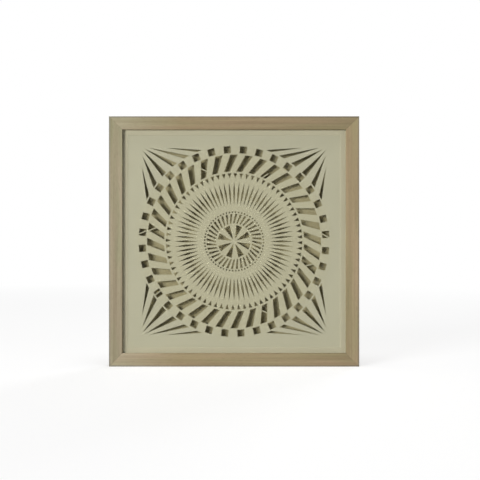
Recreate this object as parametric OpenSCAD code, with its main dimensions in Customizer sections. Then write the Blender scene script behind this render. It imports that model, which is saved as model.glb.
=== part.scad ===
// Shadow box with a pierced paper medallion, made to hang on a wall.
// The front faces -Y and +Z is up. The origin is the middle of the base. Lengths are in millimetres.
// The sheet sets the size: spacers, glass and rails are cut to fit around it.

/* [Medallion centre] */
// Radius of the solid paper hub where the wedges meet
hub_r = 5.4; // [4:0.2:8]
// Number of wedges around the hub
wedge_count = 8; // [6:1:12]
// Radial length of a wedge
wedge_len = 33.7; // [28:0.1:42]
// Width of a wedge at its outer end
wedge_w = 15.4; // [10:0.2:18]
// Angle of the first wedge, clockwise from straight up
wedge_start = 18.7; // [0:0.1:45]
// Paper ring between the wedges and the small slots
wedge_bridge = 4.4; // [2.5:0.1:7]
// Number of small slanted slots
small_slot_count = 36; // [24:1:40]
// Radial length of a small slot
small_slot_len = 22.8; // [18:0.1:28]
// Share of each pitch that a small slot opens
small_slot_open_share = 0.45; // [0.35:0.01:0.55]
// Angle that a small slot leans over its length
small_slot_lean = 5.3; // [0:0.1:8]
// Angle of the first small slot's inner end
small_slot_start = -0.9; // [-5:0.1:5]
// Paper ring between the small slots and the punched dots
dot_bridge = 2.6; // [2:0.1:5]
// Number of punched dots
dot_count = 60; // [48:1:72]
// Side of a punched dot
dot_side = 3.4; // [2.6:0.1:4]
// Angle of the first punched dot
dot_start = 2.75; // [0:0.05:6]

/* [Medallion middle] */
// Width of the plain ring inside the needles
inner_band_w = 14.7; // [10:0.1:22]
// Number of needles and of teeth
needle_count = 72; // [60:1:80]
// Length of a needle from tip to tip
needle_len = 57; // [48:0.5:68]
// Width of a needle at its widest
needle_w = 5.2; // [3.6:0.1:6]
// Place of the widest point along a needle
needle_belly_share = 0.49; // [0.4:0.01:0.6]
// Width of the plain ring between needles and teeth
outer_band_w = 7.9; // [6:0.1:14]
// Height of a tooth
tooth_h = 12.2; // [9:0.1:16]
// Width of a tooth at its base
tooth_w = 8.6; // [6:0.1:10]
// Angle of the first tooth
tooth_start = 1.07; // [0:0.01:5]

/* [Medallion rim] */
// Paper ring between the teeth and the large slots
tooth_bridge = 4.4; // [3:0.1:7]
// Number of large slots and of squares
slot_count = 36; // [30:1:42]
// Radial length of a large slot
slot_len = 40.7; // [34:0.1:50]
// Share of each pitch that a large slot opens
slot_open_share = 0.48; // [0.35:0.01:0.58]
// Angle that a large slot leans over its length
slot_lean = 5.9; // [0:0.1:9]
// Angle of the first large slot's inner end
slot_start = 4.1; // [0:0.1:10]
// Paper ring between the large slots and the squares
slot_bridge = 3.5; // [2.5:0.1:6]
// Side of a square
square_side = 16.9; // [13:0.1:20]
// Angle of the first square
square_start = 5.75; // [0:0.05:10]

/* [Corner fans] */
// Paper ring between the squares and the fans
square_bridge = 3.6; // [2.5:0.1:7]
// Angle of a fan's first slit, from the vertical
fan_start = 21; // [18:0.1:23]
// Angle between the slits of a fan
fan_step = 8.4; // [7.8:0.1:8.8]
// Angle that a slit opens at its base
fan_open = 3.4; // [2.6:0.1:4.6]
// Distance from the sheet's edges to the point that a fan's slits aim at
fan_inset = 36.8; // [30:0.1:42]

/* [Paper sheet] */
// Plain paper outside the medallion, left and right
margin_w = 35.3; // [28:0.1:120]
// Plain paper outside the medallion, top and bottom
margin_h = 35.3; // [28:0.1:120]
// Thickness of the pierced sheet
sheet_t = 0.8; // [0.5:0.1:1.5]
// Clearance between the sheet and the spacers
sheet_gap = 0.5; // [0.3:0.1:1.5]

/* [Window mat] */
// Thickness of the mat, which lies on the sheet's plain margin
mat_t = 0.8; // [0.5:0.1:1.8]
// How far the mat shows inside the rails' lips
mat_show = 13; // [6:0.5:24]

/* [Risers] */
// Height of the foam that lifts the sheet off the card
riser_t = 15; // [8:0.5:20]
// Width of a riser strip
riser_w = 18; // [12:0.5:24]
// Distance from the sheet's edge to a riser strip
riser_inset = 2; // [1:0.5:4]
// Number of pads behind each plain ring
pad_count = 12; // [6:1:24]
// Distance from a pad to the edges of its plain ring
pad_inset = 1.5; // [1:0.1:2.5]
// Length of a support strip, which stands on edge behind the medallion's rim
strip_len = 21; // [14:0.5:26]
// Thickness of a support strip
strip_t = 2.8; // [1.5:0.1:4]

/* [Glazing and backing] */
// Thickness of the glass
glass_t = 2; // [1.6:0.2:4]
// Space between the glass and the pierced sheet
glass_space = 2.6; // [2:0.1:20]
// Thickness of the spacer strips
spacer_t = 5; // [3:0.5:8]
// Clearance between the spacers and the rebate's wall
spacer_gap = 0.5; // [0.2:0.1:0.8]
// Clearance between the glass, card or panel and the rebate's wall
pane_gap = 1; // [0.5:0.1:1.5]
// Thickness of the backing card
card_t = 1.5; // [1:0.1:3]
// Thickness of the back panel
panel_t = 3; // [2:0.5:6]

/* [Rails] */
// Width of the wood behind the lip
rail_wall = 25.5; // [24:0.5:40]
// How far the lip reaches over the glass
lip_w = 6.5; // [5.5:0.1:8]
// Thickness of the lip
lip_t = 5; // [4:0.2:7]
// Radius along the rails' front edges
edge_r = 1.2; // [0.5:0.1:2.5]
// Depth of the recess behind the back panel
back_recess = 6.1; // [2.5:0.1:8]

/* [Corner nails] */
// Length of each leg of a corner nail
nail_leg = 6; // [4:0.2:7]
// Thickness of a corner nail
nail_t = 0.7; // [0.4:0.1:1]
// Depth that a corner nail is driven in
nail_depth = 10; // [7:0.5:15]
// Distance from the outer corner to the first nail, along each side
nail_inset = 4.5; // [3:0.1:6]
// Distance between the two nails of a corner, along each side
nail_pitch = 9.5; // [8:0.1:12]

/* [Retainer points] */
// Number of points along each side
point_count = 3; // [2:1:5]
// Width of a point
point_w = 8; // [5:0.5:12]
// Thickness of a point
point_t = 0.6; // [0.4:0.1:1]
// Length of a point over the back panel
point_reach = 10; // [7:0.5:16]
// Length of a point in the wood
point_bite = 7; // [5:0.5:10]

/* [Hangers] */
// Width of a hanger plate
hanger_w = 44; // [38:0.5:60]
// Height of a hanger plate
hanger_h = 21; // [20:0.1:23]
// Thickness of a hanger plate and of the wall bumpers
hanger_t = 2; // [1.8:0.1:3]
// Radius on a hanger plate's corners
hanger_corner_r = 3; // [1:0.5:5]
// Distance from the frame's side to a hanger plate's centre
hanger_inset = 100; // [70:1:220]
// Radius of the keyhole's round entry
key_r = 4.75; // [4:0.05:5]
// Width of the keyhole's slot
key_slot_w = 4.6; // [4:0.1:5.5]
// Travel from the round entry to the slot's end
key_travel = 6.5; // [5:0.1:7]
// Depth of the pocket behind a keyhole
pocket_depth = 6; // [4:0.5:10]
// Wood cleared around the keyhole
pocket_clear = 1.5; // [1:0.1:2]

/* [Screws] */
// Distance between the two screws of a plate
screw_pitch = 33; // [28:0.5:34]
// Radius of a screw's shank
screw_r = 1.6; // [1.2:0.1:1.8]
// Radius of a screw's countersunk head
screw_head_r = 3.2; // [2.8:0.1:3.4]
// Length of a screw with its head
screw_len = 15; // [10:0.5:20]
// Length of a screw's point
screw_tip = 3; // [2:0.1:4]
// Width of the arms of a screw's cross recess
drive_w = 0.9; // [0.6:0.1:1.2]
// Span of a screw's cross recess
drive_span = 3.6; // [2.8:0.1:4.4]
// Depth of a screw's cross recess
drive_depth = 1.2; // [0.8:0.1:1.4]
// Clearance around a screw
screw_fit = 0.05; // [0.02:0.01:0.1]

/* [Wall bumpers] */
// Radius of a wall bumper
bumper_r = 6; // [4:0.5:10]
// Distance from the frame's side to a bumper's centre
bumper_inset = 40; // [30:1:80]

/* [Hidden] */
$fn = 48;

// What every cut runs past the surface that it opens
overrun = 1;

// Reach of each slit of a fan, from its base towards the point that the fan aims at
fan_reach_shares = [0.55, 0.79, 0.81, 0.82, 0.75, 0.59];

// Each support strip: its angle clockwise from straight up, its share of the rim's width outwards,
// and its turn from level, set by hand as on the real sheet
strip_place_shares = [
    [-23, 0.3, -25],
    [25, 0.08, 35],
    [86.5, 0.86, -28],
    [107.5, 0.34, 12],
    [157, 0.24, -25],
    [-124, 0.87, 38],
    [-84.5, 0.89, 22],
    [-81.5, 0.5, 22]
];

// Radii of the medallion's rings, from the hub outwards
wedge_out = hub_r + wedge_len;
small_slot_in = wedge_out + wedge_bridge;
small_slot_out = small_slot_in + small_slot_len;
dot_in = small_slot_out + dot_bridge;
dot_out = dot_in + dot_side;
needle_in = dot_out + inner_band_w;
needle_out = needle_in + needle_len;
tooth_in = needle_out + outer_band_w;
tooth_out = tooth_in + tooth_h;
slot_in = tooth_out + tooth_bridge;
slot_out = slot_in + slot_len;
square_in = slot_out + slot_bridge;
square_out = square_in + square_side;
fan_r = square_out + square_bridge;

// Sizes that follow from the sheet, from the inside out
sheet_w = 2 * (fan_r + margin_w);
sheet_h = 2 * (fan_r + margin_h);
well_w = sheet_w + 2 * sheet_gap;
well_h = sheet_h + 2 * sheet_gap;
rebate_w = well_w + 2 * (spacer_t + spacer_gap);
rebate_h = well_h + 2 * (spacer_t + spacer_gap);
pane_w = rebate_w - 2 * pane_gap;
pane_h = rebate_h - 2 * pane_gap;
frame_w = rebate_w + 2 * rail_wall;
frame_h = rebate_h + 2 * rail_wall;
face_w = rail_wall + lip_w;
window_w = frame_w - 2 * (face_w + mat_show);
window_h = frame_h - 2 * (face_w + mat_show);
spacer_depth = glass_space + sheet_t + riser_t;
rail_depth = lip_t + glass_t + spacer_depth + card_t + panel_t + back_recess;

// Places along Y, from the front to the wall
y_front = -(rail_depth + hanger_t) / 2;
y_glass = y_front + lip_t;
y_spacer = y_glass + glass_t;
y_card = y_spacer + spacer_depth;
y_riser = y_card - riser_t;
y_sheet = y_riser - sheet_t;
y_mat = y_sheet - mat_t;
y_panel = y_card + card_t;
y_point = y_panel + panel_t;
y_back = y_front + rail_depth;
y_wall = y_back + hanger_t;

// Places of the hangers and bumpers, on the middle of the rails' back faces
hanger_x = frame_w / 2 - hanger_inset;
hanger_z = frame_h / 2 - rail_wall / 2;
key_z = -key_travel / 2;
bumper_x = frame_w / 2 - bumper_inset;
bumper_z = rail_wall / 2 - frame_h / 2;

wood = "#a09274";
cream = "#b8b497";
foam = "#d6d2be";
steel = "#a9acad";

// A point of the medallion, at an angle clockwise from straight up
function clock_point(r, angle) = [r * sin(angle), r * cos(angle)];

// Length of the side, and its distance from the middle, at a quarter turn from the top
function side_len(turn) = turn % 180 == 0 ? frame_w : frame_h;
function side_off(turn) = turn % 180 == 0 ? frame_h / 2 : frame_w / 2;

// Sets what is modelled around the frame's middle on its base
module on_base() {
    translate([0, 0, frame_h / 2]) children();
}

// Stands a flat outline up, with its front at y and its thickness running back
module upright(y, thickness) {
    translate([0, y + thickness, 0])
        rotate([90, 0, 0])
            linear_extrude(thickness) children();
}

// Turns what is modelled at the top to another side, clockwise as seen from the front
module at_side(turn) {
    rotate([0, turn, 0]) children();
}

// Copies an outline around the medallion, clockwise
module ring_of(count, start) {
    for (i = [0 : count - 1]) rotate(-start - i * 360 / count) children();
}

// An opening between two radii that leans clockwise on its way out
module slanted_slot(r_in, r_out, open, lean) {
    polygon([
        clock_point(r_in, -open / 2),
        clock_point(r_in, open / 2),
        clock_point(r_out, lean + open / 2),
        clock_point(r_out, lean - open / 2)
    ]);
}

module wedge_cuts() {
    ring_of(wedge_count, wedge_start)
        polygon([[0, hub_r], [wedge_w / 2, wedge_out], [-wedge_w / 2, wedge_out]]);
}

module small_slot_cuts() {
    open = small_slot_open_share * 360 / small_slot_count;
    ring_of(small_slot_count, small_slot_start)
        slanted_slot(small_slot_in, small_slot_out, open, small_slot_lean);
}

module dot_cuts() {
    ring_of(dot_count, dot_start)
        translate([-dot_side / 2, dot_in]) square(dot_side);
}

module needle_cuts() {
    belly = needle_in + needle_belly_share * needle_len;
    ring_of(needle_count, 0)
        polygon([[0, needle_in], [needle_w / 2, belly], [0, needle_out], [-needle_w / 2, belly]]);
}

module tooth_cuts() {
    ring_of(needle_count, tooth_start)
        polygon([[0, tooth_in], [tooth_w / 2, tooth_out], [-tooth_w / 2, tooth_out]]);
}

module slot_cuts() {
    open = slot_open_share * 360 / slot_count;
    ring_of(slot_count, slot_start) slanted_slot(slot_in, slot_out, open, slot_lean);
}

module square_cuts() {
    ring_of(slot_count, square_start)
        translate([-square_side / 2, square_in]) square(square_side);
}

// The slits of the top right corner, which run from the rim towards the corner
module fan_cuts() {
    aim = [sheet_w / 2 - fan_inset, sheet_h / 2 - fan_inset];
    for (i = [0 : len(fan_reach_shares) - 1]) {
        angle = fan_start + i * fan_step;
        base = clock_point(fan_r, angle);
        polygon([
            clock_point(fan_r, angle - fan_open / 2),
            base + fan_reach_shares[i] * (aim - base),
            clock_point(fan_r, angle + fan_open / 2)
        ]);
    }
}

module sheet_outline() {
    difference() {
        square([sheet_w, sheet_h], center = true);
        wedge_cuts();
        small_slot_cuts();
        dot_cuts();
        needle_cuts();
        tooth_cuts();
        slot_cuts();
        square_cuts();
        for (flip_x = [0, 1], flip_y = [0, 1])
            mirror([flip_x, 0]) mirror([0, flip_y]) fan_cuts();
    }
}

// Rounds a square corner at the origin that fills the first quadrant
module corner_waste(r) {
    difference() {
        translate([-overrun, -overrun]) square(r + overrun);
        translate([r, r]) circle(r);
    }
}

// A rail's section: the outer side at x = 0, the front at y = 0
module rail_section() {
    difference() {
        square([face_w, rail_depth]);
        translate([rail_wall, lip_t]) square([lip_w + overrun, rail_depth]);
        corner_waste(edge_r);
        translate([face_w, 0]) mirror([1, 0]) corner_waste(edge_r);
    }
}

// A rail at the top, mitred at both ends
module rail_blank(length, outer) {
    intersection() {
        translate([0, y_front, outer])
            rotate([0, 90, 0])
                linear_extrude(length, center = true) rail_section();
        upright(y_front - overrun, rail_depth + 2 * overrun)
            polygon([
                [-length / 2, outer],
                [length / 2, outer],
                [length / 2 - face_w, outer - face_w],
                [face_w - length / 2, outer - face_w]
            ]);
    }
}

// A rail with the cuts that its nails and points are driven into
module rail_shape(turn) {
    difference() {
        at_side(turn) rail_blank(side_len(turn), side_off(turn));
        corner_nail_shapes();
        retainer_point_shapes();
    }
}

module rail(turn) {
    color(wood) rail_shape(turn);
}

module rail_top() {
    color(wood)
        difference() {
            rail_shape(0);
            hanger_sides() key_pocket();
            hanger_sides() screw_pair() screw_shape(screw_fit);
        }
}

// Two nails in each corner, with a leg in each of the two rails
module corner_nail_shapes() {
    for (flip_x = [0, 1], flip_z = [0, 1], i = [0, 1]) {
        inset = nail_inset + i * nail_pitch;
        mirror([flip_x, 0, 0])
            mirror([0, 0, flip_z])
                translate([frame_w / 2 - inset, 0, frame_h / 2 - inset])
                    upright(y_back - nail_depth, nail_depth) nail_outline();
    }
}

module nail_outline() {
    translate([-nail_leg, -nail_t]) square([nail_leg, nail_t]);
    translate([-nail_t, -nail_leg]) square([nail_t, nail_leg]);
}

module corner_nails() {
    color(steel) corner_nail_shapes();
}

module glass_pane() {
    color("#c9d6cf", 0.3) upright(y_glass, glass_t) square([pane_w, pane_h], center = true);
}

// Spacers: the top and bottom strips run through, and the side strips stand between them
module spacer(turn) {
    through = turn % 180 == 0;
    length = through ? well_w + 2 * spacer_t : well_h;
    inner = through ? well_h / 2 : well_w / 2;
    color(cream)
        at_side(turn)
            translate([-length / 2, y_spacer, inner]) cube([length, spacer_depth, spacer_t]);
}

// The window's opening across one span, wider at the front because its edges are cut at 45 degrees
module window_slope(span) {
    back = span / 2 - overrun;
    front = span / 2 + mat_t + overrun;
    polygon([
        [-back, y_sheet + overrun],
        [back, y_sheet + overrun],
        [front, y_mat - overrun],
        [-front, y_mat - overrun]
    ]);
}

module window_mat() {
    color(cream)
        difference() {
            upright(y_mat, mat_t) square([sheet_w, sheet_h], center = true);
            intersection() {
                linear_extrude(sheet_h, center = true) window_slope(window_w);
                rotate([0, -90, 0]) linear_extrude(sheet_w, center = true) window_slope(window_h);
            }
        }
}

module pierced_sheet() {
    color(cream) upright(y_sheet, sheet_t) sheet_outline();
}

// Risers: the same layout as the spacers, under the sheet's plain margin
module riser(turn) {
    through = turn % 180 == 0;
    run_w = sheet_w - 2 * riser_inset;
    run_h = sheet_h - 2 * riser_inset;
    length = through ? run_w : run_h - 2 * riser_w;
    outer = through ? run_h / 2 : run_w / 2;
    color(foam)
        at_side(turn)
            translate([-length / 2, y_riser, outer - riser_w]) cube([length, riser_t, riser_w]);
}

// Round pads behind one plain ring
module pad_ring(r_in, r_out) {
    ring_of(pad_count, 0)
        translate([0, (r_in + r_out) / 2]) circle((r_out - r_in) / 2 - pad_inset);
}

module foam_pads() {
    color(foam)
        upright(y_riser, riser_t) {
            pad_ring(dot_out, needle_in);
            pad_ring(needle_out, tooth_in);
        }
}

// Strips that hold the rim off the card, and show in a few of its openings
module support_strips() {
    rim_w = square_out - slot_in;
    color(foam)
        upright(y_riser, riser_t)
            for (place = strip_place_shares)
                translate(clock_point(slot_in + place[1] * rim_w, place[0]))
                    rotate(place[2]) square([strip_len, strip_t], center = true);
}

module backing_card() {
    color(cream) upright(y_card, card_t) square([pane_w, pane_h], center = true);
}

module back_panel() {
    color("#8d7350") upright(y_panel, panel_t) square([pane_w, pane_h], center = true);
}

// A point's outline: flat over the panel, sharpened where it enters the wood
module point_outline() {
    polygon([
        [-point_w / 2, -point_reach],
        [point_w / 2, -point_reach],
        [point_w / 2, 0],
        [0, point_bite],
        [-point_w / 2, 0]
    ]);
}

module retainer_point_shapes() {
    for (turn = [0 : 90 : 270]) {
        run = side_len(turn) - 2 * rail_wall;
        for (i = [0 : point_count - 1])
            at_side(turn)
                translate([((i + 0.5) / point_count - 0.5) * run, 0, side_off(turn) - rail_wall])
                    upright(y_point, point_t) point_outline();
    }
}

module retainer_points() {
    color(steel) retainer_point_shapes();
}

// Places its children at both hangers
module hanger_sides() {
    for (side = [-1, 1]) translate([side * hanger_x, 0, hanger_z]) children();
}

module screw_pair() {
    for (side = [-1, 1]) translate([side * screw_pitch / 2, 0, 0]) children();
}

// A countersunk screw driven in from the wall side, with its head flush with the wall plane
module screw_shape(grow) {
    translate([0, y_wall, 0])
        rotate([90, 0, 0])
            rotate_extrude()
                polygon([
                    [0, 0],
                    [screw_head_r + grow, 0],
                    [screw_r + grow, screw_head_r - screw_r],
                    [screw_r + grow, screw_len - screw_tip],
                    [0, screw_len + grow]
                ]);
}

module screw() {
    difference() {
        screw_shape(0);
        for (turn = [0, 90])
            rotate([0, turn, 0])
                translate([-drive_span / 2, y_wall - drive_depth, -drive_w / 2])
                    cube([drive_span, drive_depth + overrun, drive_w]);
    }
}

// The keyhole's outline grown all round: a round entry below, a slot above
module keyhole_outline(entry_r, slot_r) {
    translate([0, key_z]) circle(entry_r);
    translate([-slot_r, key_z]) square([2 * slot_r, key_travel]);
    translate([0, key_z + key_travel]) circle(slot_r);
}

module key_pocket() {
    room = key_r + pocket_clear;
    upright(y_back - pocket_depth, pocket_depth + overrun) keyhole_outline(room, room);
}

module hanger_outline() {
    inner_w = hanger_w - 2 * hanger_corner_r;
    inner_h = hanger_h - 2 * hanger_corner_r;
    difference() {
        union() {
            square([hanger_w, inner_h], center = true);
            square([inner_w, hanger_h], center = true);
            for (x = [-1, 1], y = [-1, 1])
                translate([x * inner_w / 2, y * inner_h / 2]) circle(hanger_corner_r);
        }
        keyhole_outline(key_r, key_slot_w / 2);
    }
}

module hanger(side) {
    color(steel)
        translate([side * hanger_x, 0, hanger_z])
            difference() {
                upright(y_back, hanger_t) hanger_outline();
                screw_pair() screw_shape(screw_fit);
            }
}

module hanger_screws() {
    color(steel) hanger_sides() screw_pair() screw();
}

module wall_bumpers() {
    color("#4a4640")
        for (side = [-1, 1])
            translate([side * bumper_x, 0, bumper_z])
                upright(y_back, hanger_t) circle(bumper_r);
}

on_base() rail_top();
on_base() rail(90);  // rail_right
on_base() rail(180);  // rail_bottom
on_base() rail(270);  // rail_left
on_base() corner_nails();
on_base() glass_pane();
on_base() spacer(0);  // spacer_top
on_base() spacer(90);  // spacer_right
on_base() spacer(180);  // spacer_bottom
on_base() spacer(270);  // spacer_left
on_base() window_mat();
on_base() pierced_sheet();
on_base() riser(0);  // riser_top
on_base() riser(90);  // riser_right
on_base() riser(180);  // riser_bottom
on_base() riser(270);  // riser_left
on_base() foam_pads();
on_base() support_strips();
on_base() backing_card();
on_base() back_panel();
on_base() retainer_points();
on_base() hanger(-1);  // hanger_left
on_base() hanger(1);  // hanger_right
on_base() hanger_screws();
on_base() wall_bumpers();
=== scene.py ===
import math

import bmesh
import bpy
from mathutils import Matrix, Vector


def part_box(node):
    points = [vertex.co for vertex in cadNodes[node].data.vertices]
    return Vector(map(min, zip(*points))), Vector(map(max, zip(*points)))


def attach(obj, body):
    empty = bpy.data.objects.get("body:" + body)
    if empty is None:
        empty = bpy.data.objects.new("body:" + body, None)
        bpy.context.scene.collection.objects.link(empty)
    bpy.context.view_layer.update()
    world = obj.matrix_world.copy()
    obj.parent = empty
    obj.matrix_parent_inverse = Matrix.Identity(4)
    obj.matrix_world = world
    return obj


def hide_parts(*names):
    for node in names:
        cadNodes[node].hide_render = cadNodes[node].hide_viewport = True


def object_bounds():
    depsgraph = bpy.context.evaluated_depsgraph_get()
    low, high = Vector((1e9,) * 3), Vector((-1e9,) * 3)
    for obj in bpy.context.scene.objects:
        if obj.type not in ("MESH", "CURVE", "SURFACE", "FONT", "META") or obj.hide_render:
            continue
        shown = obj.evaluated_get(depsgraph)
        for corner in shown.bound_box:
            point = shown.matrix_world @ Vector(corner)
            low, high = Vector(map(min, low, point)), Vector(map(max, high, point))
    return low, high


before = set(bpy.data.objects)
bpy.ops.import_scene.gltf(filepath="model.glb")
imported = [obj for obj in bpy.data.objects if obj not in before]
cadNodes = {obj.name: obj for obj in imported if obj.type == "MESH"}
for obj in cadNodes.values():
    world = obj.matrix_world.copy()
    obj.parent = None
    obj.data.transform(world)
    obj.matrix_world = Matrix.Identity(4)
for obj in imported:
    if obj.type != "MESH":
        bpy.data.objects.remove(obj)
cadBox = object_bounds()
frameLow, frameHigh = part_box("rail_top")  # this rail reaches the frame's front, top and sides
mm = 0.001
print("frame loaded:", len(cadNodes), "CAD nodes")


# node helpers, shared by the geometry and the shader trees
def addNode(tree, kind, inputs=None, **settings):
    made = tree.nodes.new(kind)
    for name, value in settings.items():
        setattr(made, name, value)
    for key, value in (inputs or {}).items():
        if isinstance(value, bpy.types.NodeSocket):
            tree.links.new(value, made.inputs[key])
        else:
            made.inputs[key].default_value = value
    return made


def newGroup(name, kind, inputs, outputs):
    tree = bpy.data.node_groups.new(name, kind)
    for label, socket in inputs:
        tree.interface.new_socket(label, in_out="INPUT", socket_type="NodeSocket" + socket)
    for label, socket in outputs:
        tree.interface.new_socket(label, in_out="OUTPUT", socket_type="NodeSocket" + socket)
    return tree, tree.nodes.new("NodeGroupInput").outputs, tree.nodes.new("NodeGroupOutput").inputs


def maths(tree, operation, first, second=0.0, third=0.0):
    inputs = {0: first, 1: second, 2: third}
    return addNode(tree, "ShaderNodeMath", inputs, operation=operation).outputs[0]


def ranged(tree, value, low, high):  # 0 at low, 1 at high, held beyond both
    inputs = {"Value": value, "From Min": low, "From Max": high}
    return addNode(tree, "ShaderNodeMapRange", inputs).outputs[0]


def spread(tree, value, low, high):  # 0 to 1 becomes low to high
    inputs = {"Value": value, "To Min": low, "To Max": high}
    return addNode(tree, "ShaderNodeMapRange", inputs).outputs[0]


def newObject(name, data):
    made = bpy.data.objects.new(name, data)
    bpy.context.scene.collection.objects.link(made)
    return made


# the pierced sheet: every opening is a four-cornered outline, copied round the medallion
sheetSizes = {  # millimetres and degrees, angles run clockwise from straight up
    "hub": 5.4,
    "wedge": {"count": 8, "start": 18.7, "length": 33.7, "width": 15.4, "bridge": 4.4},
    "smallSlot": {"count": 36, "start": -0.9, "length": 22.8, "open": 0.45, "lean": 5.3, "bridge": 2.6},
    "dot": {"count": 60, "start": 2.75, "side": 3.4, "bridge": 14.7},
    "needle": {"count": 72, "start": 0, "length": 57, "width": 5.2, "belly": 0.49, "bridge": 7.9},
    "tooth": {"count": 72, "start": 1.07, "length": 12.2, "width": 8.6, "bridge": 4.4},
    "slot": {"count": 36, "start": 4.1, "length": 40.7, "open": 0.48, "lean": 5.9, "bridge": 3.5},
    "square": {"count": 36, "start": 5.75, "side": 16.9, "bridge": 3.6},
    "fan": {"start": 21, "step": 8.4, "open": 3.4, "inset": 36.8},
    "fanReach": (0.55, 0.79, 0.81, 0.82, 0.75, 0.59),
    "mergeGap": 0.01,
}


def clockPoint(radius, angle):
    turn = math.radians(angle)
    return Vector((radius * math.sin(turn), radius * math.cos(turn), 0))


def flatCorners(*places):
    return [Vector((x, y, 0)) for x, y in places]


def slantedCorners(inner, ring):
    outer = inner + ring["length"]
    half = ring["open"] * 180 / ring["count"]
    lean = ring["lean"]
    return [clockPoint(inner, -half), clockPoint(inner, half),
            clockPoint(outer, lean + half), clockPoint(outer, lean - half)]


def toothCorners(inner, ring):
    outer = inner + ring["length"]
    half = ring["width"] / 2
    return flatCorners((0, inner), (half, outer), (0, outer), (-half, outer))


def needleCorners(inner, ring):
    belly = inner + ring["belly"] * ring["length"]
    half = ring["width"] / 2
    outer = inner + ring["length"]
    return flatCorners((0, inner), (half, belly), (0, outer), (-half, belly))


def squareCorners(inner, ring):
    half = ring["side"] / 2
    outer = inner + ring["side"]
    return flatCorners((-half, inner), (half, inner), (half, outer), (-half, outer))


ringShapes = [  # from the hub outwards
    ("wedge", toothCorners), ("smallSlot", slantedCorners), ("dot", squareCorners),
    ("needle", needleCorners), ("tooth", toothCorners), ("slot", slantedCorners),
    ("square", squareCorners),
]


def cutTree(name, extraInputs):  # an outline from four corners, with the inputs that place its copies
    corners = [("Corner " + letter, "Vector") for letter in "ABCD"]
    inputs = extraInputs + corners
    tree, given, result = newGroup(name, "GeometryNodeTree", inputs, [("Cuts", "Geometry")])
    points = {f"Point {i + 1}": given[label] for i, (label, _) in enumerate(corners)}
    outline = addNode(tree, "GeometryNodeCurvePrimitiveQuadrilateral", points, mode="POINTS")
    return tree, given, result, outline.outputs[0]


def ringTree():
    tree, given, result, outline = cutTree("ringOfCuts", [("Count", "Int"), ("Start", "Float")])
    index = addNode(tree, "GeometryNodeInputIndex").outputs[0]
    step = maths(tree, "DIVIDE", -math.tau, given["Count"])
    turn = maths(tree, "SUBTRACT", maths(tree, "MULTIPLY", index, step), given["Start"])
    spots = addNode(tree, "GeometryNodePoints", {"Count": given["Count"]}).outputs[0]
    spin = addNode(tree, "ShaderNodeCombineXYZ", {"Z": turn}).outputs[0]
    placed = {"Points": spots, "Instance": outline, "Rotation": spin}
    copies = addNode(tree, "GeometryNodeInstanceOnPoints", placed)
    tree.links.new(copies.outputs[0], result["Cuts"])
    return tree


def cornerTree():  # four copies, mirrored left to right and top to bottom
    tree, given, result, outline = cutTree("cutsInCorners", [])
    index = addNode(tree, "GeometryNodeInputIndex").outputs[0]
    column = maths(tree, "MODULO", index, 2.0)
    row = maths(tree, "FLOOR", maths(tree, "DIVIDE", index, 2.0))
    flipX = maths(tree, "MULTIPLY_ADD", column, -2.0, 1.0)
    flipY = maths(tree, "MULTIPLY_ADD", row, -2.0, 1.0)
    spots = addNode(tree, "GeometryNodePoints", {"Count": 4}).outputs[0]
    flip = addNode(tree, "ShaderNodeCombineXYZ", {"X": flipX, "Y": flipY, "Z": 1.0}).outputs[0]
    placed = {"Points": spots, "Instance": outline, "Scale": flip}
    copies = addNode(tree, "GeometryNodeInstanceOnPoints", placed)
    tree.links.new(copies.outputs[0], result["Cuts"])
    return tree


def placeCuts(tree, group, corners, values):
    cuts = addNode(tree, "GeometryNodeGroup", node_tree=group)
    for key, value in values.items():
        cuts.inputs[key].default_value = value
    for letter, corner in zip("ABCD", corners):
        cuts.inputs["Corner " + letter].default_value = corner * mm
    return cuts.outputs[0]


def sheetCuts(tree, width, height):  # the rings, each starting past the last one's bridge, then the fans
    ringGroup, cornerGroup = ringTree(), cornerTree()
    cuts = []
    radius = sheetSizes["hub"]
    for name, shape in ringShapes:
        ring = sheetSizes[name]
        values = {"Count": ring["count"], "Start": math.radians(ring["start"])}
        cuts.append(placeCuts(tree, ringGroup, shape(radius, ring), values))
        radius += ring.get("length", ring.get("side")) + ring["bridge"]
    fan = sheetSizes["fan"]
    aim = Vector((width / 2 / mm - fan["inset"], height / 2 / mm - fan["inset"], 0))
    for i, share in enumerate(sheetSizes["fanReach"]):
        angle = fan["start"] + i * fan["step"]
        left, right = (clockPoint(radius, angle + side * fan["open"] / 2) for side in (-1, 1))
        tip = clockPoint(radius, angle).lerp(aim, share)
        cuts.append(placeCuts(tree, cornerGroup, [left, tip, right, (left + right) / 2], {}))
    return cuts


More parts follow.
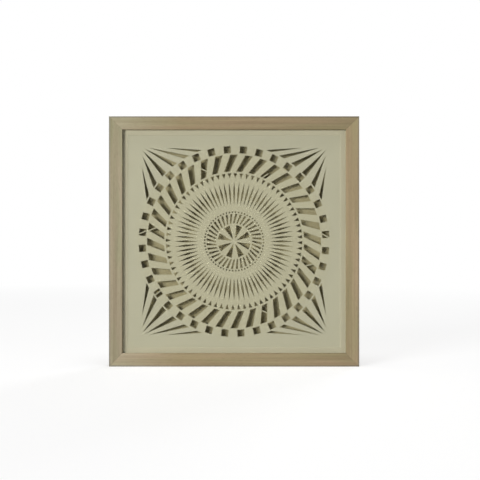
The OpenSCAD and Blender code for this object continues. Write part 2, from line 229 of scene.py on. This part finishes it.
def sheetTree(width, height, material):
    sizes = [(label, "Float") for label in ("Width", "Height", "Thickness", "Back", "Middle")]
    tree, given, result = newGroup("piercedSheet", "GeometryNodeTree", sizes, [("Geometry", "Geometry")])
    outline = addNode(tree, "GeometryNodeCurvePrimitiveQuadrilateral",
                      {"Width": given["Width"], "Height": given["Height"]}, mode="RECTANGLE").outputs[0]
    parts = [outline] + sheetCuts(tree, width, height)
    join = addNode(tree, "GeometryNodeJoinGeometry")
    for part in parts:
        tree.links.new(part, join.inputs[0])
    curves = addNode(tree, "GeometryNodeRealizeInstances", {"Geometry": join.outputs[0]}).outputs[0]
    face = addNode(tree, "GeometryNodeFillCurve", {"Curve": curves}).outputs[0]
    raised = {"Mesh": face, "Offset": (0, 0, 1), "Offset Scale": given["Thickness"], "Individual": False}
    front = addNode(tree, "GeometryNodeExtrudeMesh", raised).outputs["Mesh"]
    back = addNode(tree, "GeometryNodeFlipFaces", {"Mesh": face}).outputs[0]
    both = addNode(tree, "GeometryNodeJoinGeometry")
    for part in (front, back):
        tree.links.new(part, both.inputs[0])
    merged = {"Geometry": both.outputs[0], "Distance": sheetSizes["mergeGap"] * mm}
    closed = addNode(tree, "GeometryNodeMergeByDistance", merged).outputs[0]
    place = addNode(tree, "ShaderNodeCombineXYZ", {"Y": given["Back"], "Z": given["Middle"]}).outputs[0]
    stood = {"Geometry": closed, "Translation": place, "Rotation": (math.pi / 2, 0, 0)}
    upright = addNode(tree, "GeometryNodeTransform", stood).outputs[0]
    plain = addNode(tree, "GeometryNodeRealizeInstances", {"Geometry": upright}).outputs[0]
    painted = addNode(tree, "GeometryNodeSetMaterial", {"Geometry": plain, "Material": material})
    tree.links.new(painted.outputs[0], result["Geometry"])
    return tree


def bakeModifiers(piece):
    graph = bpy.context.evaluated_depsgraph_get()
    mesh = bpy.data.meshes.new_from_object(piece.evaluated_get(graph))
    piece.modifiers.clear()
    piece.data = mesh
    mesh.name = piece.name


def addSheet(material):
    low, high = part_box("pierced_sheet")
    size = high - low
    tree = sheetTree(size.x, size.z, material)
    piece = newObject("paperSheet", bpy.data.meshes.new("paperSheet"))
    modifier = piece.modifiers.new("piercedSheet", "NODES")
    modifier.node_group = tree
    values = {"Width": size.x, "Height": size.z, "Thickness": size.y, "Back": high.y,
              "Middle": (low.z + high.z) / 2}
    for item in tree.interface.items_tree:
        if item.name in values:
            modifier[item.identifier] = values[item.name]
    bakeModifiers(piece)
    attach(piece, "root")
    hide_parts("pierced_sheet")
    print("paper sheet:", len(piece.data.polygons), "faces")


# pieces with softened edges, made from the CAD solids
softEdges = {  # widths and the gap in millimetres, angles in degrees
    "rail": 0.3, "spacer": 0.3, "hanger": 0.35, "panel": 0.4,
    "mergeGap": 0.002, "flatWithin": 0.5, "softFrom": 40, "sharpFrom": 35, "segments": 2,
}


def softCopy(nodeName, pieceName, width, material):
    mesh = cadNodes[nodeName].data.copy()
    cleaned = bmesh.new()
    cleaned.from_mesh(mesh)
    bmesh.ops.remove_doubles(cleaned, verts=cleaned.verts, dist=softEdges["mergeGap"] * mm)
    flat = math.radians(softEdges["flatWithin"])
    bmesh.ops.dissolve_limit(cleaned, angle_limit=flat, verts=cleaned.verts, edges=cleaned.edges)
    cleaned.to_mesh(mesh)
    cleaned.free()
    mesh.materials.clear()
    mesh.materials.append(material)
    piece = newObject(pieceName, mesh)
    bevel = piece.modifiers.new("softEdges", "BEVEL")
    bevel.width = width * mm
    bevel.segments = softEdges["segments"]
    bevel.limit_method = "ANGLE"
    bevel.angle_limit = math.radians(softEdges["softFrom"])
    bevel.use_clamp_overlap = False
    bakeModifiers(piece)
    piece.data.polygons.foreach_set("use_smooth", [True] * len(piece.data.polygons))
    piece.data.set_sharp_from_angle(angle=math.radians(softEdges["sharpFrom"]))
    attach(piece, "root")
    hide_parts(nodeName)


# shader effects that several materials share
grainMarks = {  # noise per metre along and across the grain, and the levels where a mark starts and is full
    "Streak": {"along": 1.6, "across": 85, "detail": 2.0, "starts": 0.32, "full": 0.68},
    "Line": {"along": 5, "across": 260, "detail": 2.0, "starts": 0.3, "full": 0.7},
    "Pore": {"along": 95, "across": 1700, "detail": 0.0, "starts": 0.64, "full": 0.74},
    "Hue": {"along": 4, "across": 42, "detail": 2.0, "starts": 0.38, "full": 0.62},
}
grainWaver = 0.4


def grainGroup():  # straight grain along X: streaks, fine lines, pores and drifting hue
    outputs = [(label, "Float") for label in grainMarks]
    tree, given, result = newGroup("woodGrain", "ShaderNodeTree", [("Vector", "Vector")], outputs)
    for label, mark in grainMarks.items():
        stretch = (mark["along"], mark["across"], mark["across"])
        place = addNode(tree, "ShaderNodeVectorMath", {0: given["Vector"], 1: stretch}, operation="MULTIPLY")
        pattern = {"Vector": place.outputs[0], "Scale": 1.0, "Detail": mark["detail"],
                   "Distortion": grainWaver}
        noise = addNode(tree, "ShaderNodeTexNoise", pattern).outputs[0]
        tree.links.new(ranged(tree, noise, mark["starts"], mark["full"]), result[label])
    return tree


fibreMarks = {  # scale counts from one per fibre, and the levels are where a mark starts and is full
    "Mottle": {"scale": 0.02, "detail": 3.0, "waver": 0.3, "starts": 0.3, "full": 0.7},
    "Fibre": {"scale": 1.0, "detail": 4.0, "waver": 1.6, "starts": 0.25, "full": 0.75},
    "Fleck": {"scale": 0.45, "detail": 1.0, "waver": 0.8, "starts": 0.7, "full": 0.78},
}


def fibreGroup():  # pressed fibres: cloudy mottling, felted fibres and sparse flecks
    inputs = [("Vector", "Vector"), ("Fibre Size", "Float")]
    outputs = [(label, "Float") for label in fibreMarks]
    tree, given, result = newGroup("pressedFibre", "ShaderNodeTree", inputs, outputs)
    perMetre = maths(tree, "DIVIDE", 1.0, given["Fibre Size"])
    for label, mark in fibreMarks.items():
        scale = maths(tree, "MULTIPLY", perMetre, mark["scale"])
        pattern = {"Vector": given["Vector"], "Scale": scale, "Detail": mark["detail"],
                   "Distortion": mark["waver"]}
        noise = addNode(tree, "ShaderNodeTexNoise", pattern).outputs[0]
        tree.links.new(ranged(tree, noise, mark["starts"], mark["full"]), result[label])
    return tree


jointMarks = {  # millimetres from a mitre and from the outer front edge, where a mark starts and is full
    "jointStarts": 0.5, "jointFull": 0.15, "wearShadeStarts": 4.6, "wearShadeFull": 2.2,
}


def jointGroup(half, middle, front):  # the mitre joints, and the outer edges of the frame darkened by wear and by painted shade
    outputs = [("Joint", "Float"), ("EdgeWearShade", "Float")]
    tree, given, result = newGroup("frameJoints", "ShaderNodeTree", [("Vector", "Vector")], outputs)
    place = addNode(tree, "ShaderNodeSeparateXYZ", {0: given["Vector"]}).outputs
    acrossX = maths(tree, "ABSOLUTE", place["X"])
    acrossZ = maths(tree, "ABSOLUTE", maths(tree, "SUBTRACT", place["Z"], middle))
    gap = maths(tree, "ABSOLUTE", maths(tree, "SUBTRACT", acrossX, acrossZ))
    joint = ranged(tree, gap, jointMarks["jointStarts"] * mm, jointMarks["jointFull"] * mm)
    tree.links.new(joint, result["Joint"])
    # the outer front edges go darker, part wear and part painted shade of the rounded edge
    away = maths(tree, "SUBTRACT", maths(tree, "MAXIMUM", acrossX, acrossZ), half)
    depth = maths(tree, "SUBTRACT", place["Y"], front)
    squared = maths(tree, "MULTIPLY_ADD", away, away, maths(tree, "MULTIPLY", depth, depth))
    distance = maths(tree, "SQRT", squared)
    wornAndShaded = ranged(tree, distance, jointMarks["wearShadeStarts"] * mm, jointMarks["wearShadeFull"] * mm)
    tree.links.new(wornAndShaded, result["EdgeWearShade"])
    return tree


# material helpers
def newMaterial(name):
    material = bpy.data.materials.new(name)
    material.use_nodes = True
    tree = material.node_tree
    return material, tree, next(n for n in tree.nodes if n.type == "BSDF_PRINCIPLED")


def objectPlace(tree):
    return addNode(tree, "ShaderNodeTexCoord").outputs["Object"]


def mixed(tree, factor, first, second, blend="MIX"):  # 6 and 7 are the mix node's colours, 2 its result
    inputs = {0: factor, 6: first, 7: second}
    return addNode(tree, "ShaderNodeMix", inputs, data_type="RGBA", blend_type=blend).outputs[2]


def placeGroup(tree, group, inputs):
    return addNode(tree, "ShaderNodeGroup", inputs, node_tree=group).outputs


def tint(red, green, blue, level=1.0):
    return (red * level, green * level, blue * level, 1.0)


def setBump(tree, shader, height, strength, distance):
    bump = addNode(tree, "ShaderNodeBump", {"Height": height, "Strength": strength, "Distance": distance})
    tree.links.new(bump.outputs[0], shader.inputs["Normal"])


woodLook = {  # colours are linear
    "pale": (0.42, 0.342, 0.208), "dark": (0.226, 0.177, 0.098),
    "rosy": (0.385, 0.274, 0.168), "olive": (0.3, 0.262, 0.134), "hueShare": 0.5,
    "pore": (0.17, 0.125, 0.07), "lineShare": 0.32, "poreShare": 0.4,
    # the edge colour darkens the outer front edges, part wear and part painted shade
    "edge": (0.185, 0.165, 0.125), "edgeShare": 0.62,
    "joint": (0.12, 0.09, 0.06), "jointShare": 0.3,
    # the tint below is a painted sheen: the wood is made paler towards the left, where the light falls on the
    # frame
    "paintedSheen": (1.16, 1.29, 1.46), "paintedSheenFrom": -130, "paintedSheenTo": -270,  # a tint, and millimetres along X
    "levelBoard": 0.53, "uprightBoard": 0.59,  # metres into the grain, so that boards differ
    "rough": 0.66, "smooth": 0.54, "shine": 0.3,
    "lineHeight": 0.4, "relief": 0.35, "depth": 0.12,  # depth in millimetres
}


def woodMaterial(name, turn, board, grain, joints):
    material, tree, shader = newMaterial(name)
    look = woodLook
    colours = {key: tint(*value) for key, value in look.items() if isinstance(value, tuple)}
    coords = objectPlace(tree)
    mapping = {"Vector": coords, "Location": (0, board, 0), "Rotation": (0, turn, 0)}
    along = addNode(tree, "ShaderNodeMapping", mapping).outputs[0]
    marks = placeGroup(tree, grain, {"Vector": along})
    edges = placeGroup(tree, joints, {"Vector": coords})
    streaked = mixed(tree, marks["Streak"], colours["dark"], colours["pale"])
    hue = mixed(tree, marks["Hue"], colours["olive"], colours["rosy"])
    drifting = mixed(tree, look["hueShare"], streaked, hue)
    lined = mixed(tree, spread(tree, marks["Line"], look["lineShare"], 0.0), drifting, colours["pore"])
    pored = mixed(tree, maths(tree, "MULTIPLY", marks["Pore"], look["poreShare"]), lined, colours["pore"])
    # outer front edges darkened: part wear, part painted shade
    wornAndShaded = mixed(tree, maths(tree, "MULTIPLY", edges["EdgeWearShade"], look["edgeShare"]), pored, colours["edge"])
    jointed = mixed(tree, maths(tree, "MULTIPLY", edges["Joint"], look["jointShare"]), wornAndShaded, colours["joint"])
    # painted sheen: the wood turns paler towards the left side, standing in for light falling there
    across = addNode(tree, "ShaderNodeSeparateXYZ", {0: coords}).outputs["X"]
    sheenMask = ranged(tree, across, look["paintedSheenFrom"] * mm, look["paintedSheenTo"] * mm)
    paintedSheen = mixed(tree, sheenMask, jointed, colours["paintedSheen"], "MULTIPLY")
    tree.links.new(paintedSheen, shader.inputs["Base Color"])
    tree.links.new(spread(tree, marks["Line"], look["rough"], look["smooth"]), shader.inputs["Roughness"])
    shader.inputs["Specular IOR Level"].default_value = look["shine"]
    ridges = maths(tree, "MULTIPLY", marks["Line"], look["lineHeight"])
    height = maths(tree, "SUBTRACT", ridges, marks["Pore"])
    setBump(tree, shader, height, look["relief"], look["depth"] * mm)
    return material


fibreLooks = {  # colours are linear, fibre sizes and the warm radii in millimetres
    "creamPaper": {"colour": (0.445, 0.424, 0.302), "mottle": 0.03, "thread": (0.53, 0.505, 0.375),
                   "grain": 0.3, "fleck": (0.33, 0.3, 0.18), "flecks": 0.22, "fibre": 1.4,
                   "rough": 0.92, "shine": 0.2, "relief": 0.45,
                   "warm": (1.0, 0.985, 0.92), "warmTo": 205, "warmFrom": 245},
    "matCard": {"colour": (0.46, 0.427, 0.302), "mottle": 0.03, "thread": (0.53, 0.495, 0.36),
                "grain": 0.3, "fleck": (0.33, 0.3, 0.18), "flecks": 0.2, "fibre": 1.6,
                "rough": 0.94, "shine": 0.15, "relief": 0.45},
    "backingCard": {"colour": (0.36, 0.318, 0.181), "mottle": 0.05, "thread": (0.4, 0.36, 0.217),
                    "grain": 0.25, "fleck": (0.21, 0.178, 0.088), "flecks": 0.3, "fibre": 2.2,
                    "rough": 0.95, "shine": 0.15, "relief": 0.3},
    "stripCard": {"colour": (0.4, 0.375, 0.25), "mottle": 0.04, "thread": (0.46, 0.44, 0.3),
                  "grain": 0.25, "fleck": (0.3, 0.27, 0.17), "flecks": 0.3, "fibre": 1.8,
                  "rough": 0.93, "shine": 0.2, "relief": 0.25},
    "spacerCard": {"colour": (0.66, 0.62, 0.44), "mottle": 0.04, "thread": (0.72, 0.68, 0.5),
                   "grain": 0.25, "fleck": (0.42, 0.39, 0.26), "flecks": 0.2, "fibre": 1.8,
                   "rough": 0.93, "shine": 0.2, "relief": 0.25},
    "foamBoard": {"colour": (0.62, 0.6, 0.48), "mottle": 0.04, "thread": (0.72, 0.7, 0.6),
                  "grain": 0.4, "fleck": (0.42, 0.4, 0.3), "flecks": 0.5, "fibre": 0.8,
                  "rough": 0.9, "shine": 0.2, "relief": 0.5},
    "fibreboard": {"colour": (0.24, 0.155, 0.075), "mottle": 0.14, "thread": (0.34, 0.23, 0.12),
                   "grain": 0.5, "fleck": (0.09, 0.055, 0.03), "flecks": 0.6, "fibre": 2.6,
                   "rough": 0.72, "shine": 0.35, "relief": 0.5},
    "felt": {"colour": (0.07, 0.062, 0.052), "mottle": 0.15, "thread": (0.14, 0.125, 0.105),
             "grain": 0.6, "fleck": (0.03, 0.027, 0.024), "flecks": 0.6, "fibre": 0.9,
             "rough": 1.0, "shine": 0.1, "relief": 1.0},
}
fibreFinish = {"smoother": 0.12, "depth": 0.15}  # fall in roughness over a fibre, relief in millimetres


def nearMiddle(tree, inner, outer):  # 1 within the inner radius of the frame's middle, 0 past the outer
    centre = (0, 0, frameHigh.z / 2)
    flat = addNode(tree, "ShaderNodeVectorMath", {0: objectPlace(tree), 1: centre}, operation="SUBTRACT")
    away = addNode(tree, "ShaderNodeVectorMath", {0: flat.outputs[0]}, operation="LENGTH")
    return ranged(tree, away.outputs["Value"], outer * mm, inner * mm)


def fibreMaterial(name, fibre, look):
    material, tree, shader = newMaterial(name)
    marks = placeGroup(tree, fibre, {"Vector": objectPlace(tree), "Fibre Size": look["fibre"] * mm})
    darker, lighter = (tint(*look["colour"], 1 + side * look["mottle"]) for side in (-1, 1))
    ground = mixed(tree, marks["Mottle"], darker, lighter)
    if "warm" in look:
        inside = nearMiddle(tree, look["warmTo"], look["warmFrom"])
        ground = mixed(tree, inside, ground, tint(*look["warm"]), "MULTIPLY")
    threads = maths(tree, "MULTIPLY", marks["Fibre"], look["grain"])
    felted = mixed(tree, threads, ground, tint(*look["thread"]))
    specks = maths(tree, "MULTIPLY", marks["Fleck"], look["flecks"])
    flecked = mixed(tree, specks, felted, tint(*look["fleck"]))
    tree.links.new(flecked, shader.inputs["Base Color"])
    rough = spread(tree, marks["Fibre"], look["rough"], look["rough"] - fibreFinish["smoother"])
    tree.links.new(rough, shader.inputs["Roughness"])
    shader.inputs["Specular IOR Level"].default_value = look["shine"]
    setBump(tree, shader, marks["Fibre"], look["relief"], fibreFinish["depth"] * mm)
    return material


steelLook = {  # fibre and depth in millimetres
    "colour": (0.56, 0.56, 0.545), "dull": (0.4, 0.4, 0.39), "fibre": 3.0,
    "rough": 0.5, "smooth": 0.32, "relief": 0.1, "depth": 0.1,
}


def steelMaterial(fibre):
    material, tree, shader = newMaterial("zincSteel")
    look = steelLook
    marks = placeGroup(tree, fibre, {"Vector": objectPlace(tree), "Fibre Size": look["fibre"] * mm})
    colour = mixed(tree, marks["Fibre"], tint(*look["dull"]), tint(*look["colour"]))
    tree.links.new(colour, shader.inputs["Base Color"])
    tree.links.new(spread(tree, marks["Fibre"], look["rough"], look["smooth"]), shader.inputs["Roughness"])
    shader.inputs["Metallic"].default_value = 1.0
    setBump(tree, shader, marks["Fibre"], look["relief"], look["depth"] * mm)
    return material


glassLook = {"colour": (0.985, 0.995, 0.985), "wiped": 0.0, "hazy": 0.03, "smear": 3.5, "bend": 1.1}


def glassMaterial(fibre):  # lamps and soft light pass straight through, the eye sees a coated pane
    material, tree, shader = newMaterial("clearGlass")
    marks = placeGroup(tree, fibre, {"Vector": objectPlace(tree), "Fibre Size": glassLook["smear"] * mm})
    haze = spread(tree, marks["Mottle"], glassLook["wiped"], glassLook["hazy"])
    tree.links.new(haze, shader.inputs["Roughness"])
    shader.inputs["Base Color"].default_value = tint(*glassLook["colour"])
    shader.inputs["IOR"].default_value = glassLook["bend"]
    shader.inputs["Transmission Weight"].default_value = 1.0
    clear = addNode(tree, "ShaderNodeBsdfTransparent")
    path = addNode(tree, "ShaderNodeLightPath").outputs
    through = maths(tree, "MAXIMUM", path["Is Shadow Ray"], path["Is Diffuse Ray"])
    mix = addNode(tree, "ShaderNodeMixShader", {0: through, 1: shader.outputs[0], 2: clear.outputs[0]})
    output = next(n for n in tree.nodes if n.type == "OUTPUT_MATERIAL")
    tree.links.new(mix.outputs[0], output.inputs["Surface"])
    return material


def setMaterial(nodeName, material):
    mesh = cadNodes[nodeName].data
    mesh.materials.clear()
    mesh.materials.append(material)


grain = grainGroup()
fibre = fibreGroup()
joints = jointGroup(frameHigh.x, frameHigh.z / 2, frameLow.y)
fibreMaterials = {name: fibreMaterial(name, fibre, look) for name, look in fibreLooks.items()}
steel = steelMaterial(fibre)
glass = glassMaterial(fibre)

addSheet(fibreMaterials["creamPaper"])

levelWood = woodMaterial("levelWood", 0.0, woodLook["levelBoard"], grain, joints)
uprightWood = woodMaterial("uprightWood", math.pi / 2, woodLook["uprightBoard"], grain, joints)
for side, wood in (("Top", levelWood), ("Right", uprightWood), ("Bottom", levelWood), ("Left", uprightWood)):
    softCopy("rail_" + side.lower(), "rail" + side, softEdges["rail"], wood)
    softCopy("spacer_" + side.lower(), "spacer" + side, softEdges["spacer"], fibreMaterials["spacerCard"])
    setMaterial("riser_" + side.lower(), fibreMaterials["foamBoard"])
for hand in ("left", "right"):
    softCopy("hanger_" + hand, "hanger" + hand.title(), softEdges["hanger"], steel)
softCopy("back_panel", "backPanel", softEdges["panel"], fibreMaterials["fibreboard"])
setMaterial("foam_pads", fibreMaterials["foamBoard"])
setMaterial("support_strips", fibreMaterials["stripCard"])
setMaterial("window_mat", fibreMaterials["matCard"])
setMaterial("backing_card", fibreMaterials["backingCard"])
setMaterial("wall_bumpers", fibreMaterials["felt"])
setMaterial("glass_pane", glass)
for name in ("corner_nails", "retainer_points", "hanger_screws"):
    setMaterial(name, steel)
print("pieces dressed with", len(bpy.data.materials), "materials")


# stage: a white floor and world for the eye, plain soft light on the object
stageLook = {  # metres, watts and degrees
    "floor": 12.0, "floorTone": 0.5, "nearGlow": 0.61, "near": 0.9, "far": 4.0, "skyFill": 0.06,
    "windowLight": {"power": 716, "width": 4.2, "height": 1.8, "away": 9.0, "side": -40, "rise": 7},
    "sideLight": {"power": 85, "width": 2.4, "height": 1.8, "away": 9.0, "side": 50, "rise": 6},
    "topLight": {"power": 130, "width": 2.0, "height": 2.0, "away": 5.0, "side": 0, "rise": 83},
    "wallLight": {"power": 450, "width": 3.0, "height": 3.0, "away": 9.0, "side": 152, "rise": 10},
}


def seenByEye(tree):  # straight on, mirrored, or through the glass
    path = addNode(tree, "ShaderNodeLightPath").outputs
    turned = maths(tree, "MAXIMUM", path["Is Glossy Ray"], path["Is Transmission Ray"])
    return maths(tree, "MAXIMUM", path["Is Camera Ray"], turned)


def addFloor():
    mesh = bpy.data.meshes.new("floor")
    reach = stageLook["floor"]
    corners = [(-reach, -reach, 0), (reach, -reach, 0), (reach, reach, 0), (-reach, reach, 0)]
    mesh.from_pydata(corners, [], [(0, 1, 2, 3)])
    floor = newObject("floor", mesh)
    material = bpy.data.materials.new("floorWhite")
    material.use_nodes = True
    tree = material.node_tree
    tree.nodes.clear()
    seen = seenByEye(tree)
    away = addNode(tree, "ShaderNodeVectorMath", {0: objectPlace(tree)}, operation="LENGTH")
    far = ranged(tree, away.outputs["Value"], stageLook["near"], stageLook["far"])
    # far off, the eye sees white alone
    lit = maths(tree, "SUBTRACT", 1.0, maths(tree, "MULTIPLY", seen, far))
    tone = maths(tree, "MULTIPLY", lit, stageLook["floorTone"])
    matt = addNode(tree, "ShaderNodeBsdfDiffuse", {"Color": tone})
    level = maths(tree, "MULTIPLY", seen, spread(tree, far, stageLook["nearGlow"], 1.0))
    glow = addNode(tree, "ShaderNodeEmission", {"Color": tint(1, 1, 1), "Strength": level})
    both = addNode(tree, "ShaderNodeAddShader", {0: matt.outputs[0], 1: glow.outputs[0]})
    output = addNode(tree, "ShaderNodeOutputMaterial")
    tree.links.new(both.outputs[0], output.inputs["Surface"])
    mesh.materials.append(material)


def addWorld():
    world = bpy.data.worlds.new("studio")
    world.use_nodes = True
    tree = world.node_tree
    sky = next(n for n in tree.nodes if n.type == "BACKGROUND")
    tree.links.new(spread(tree, seenByEye(tree), stageLook["skyFill"], 1.0), sky.inputs["Strength"])
    sky.inputs["Color"].default_value = tint(1, 1, 1)
    bpy.context.scene.world = world


def addLamp(name, middle):  # side is counted from straight in front, to the right
    look = stageLook[name]
    light = bpy.data.lights.new(name, "AREA")
    light.energy = look["power"]
    light.shape = "RECTANGLE"
    light.size = look["width"]
    light.size_y = look["height"]
    lamp = newObject(name, light)
    side, rise = math.radians(look["side"]), math.radians(look["rise"])
    towards = Vector((math.sin(side) * math.cos(rise), -math.cos(side) * math.cos(rise), math.sin(rise)))
    lamp.location = middle + towards * look["away"]
    lamp.rotation_euler = towards.to_track_quat("Z", "Y").to_euler()
    lamp.visible_camera = False
    lamp.visible_glossy = False


cameraLook = {"away": 2.0, "lens": 62.61, "sensor": 36, "shiftX": 0.0123, "shiftY": 0.003}


def addCamera(middle):
    data = bpy.data.cameras.new("camera")
    data.lens = cameraLook["lens"]
    data.sensor_width = cameraLook["sensor"]
    data.shift_x = cameraLook["shiftX"]
    data.shift_y = cameraLook["shiftY"]
    camera = newObject("camera", data)
    camera.location = (middle.x, frameLow.y - cameraLook["away"], middle.z)
    camera.rotation_euler = (math.pi / 2, 0, 0)
    bpy.context.scene.camera = camera


middle = (cadBox[0] + cadBox[1]) / 2
addFloor()
addWorld()
for name in ("windowLight", "sideLight", "topLight", "wallLight"):
    addLamp(name, middle)
addCamera(middle)
bpy.context.scene.view_settings.view_transform = "Standard"
print("stage set")

bpy.context.view_layer.update()
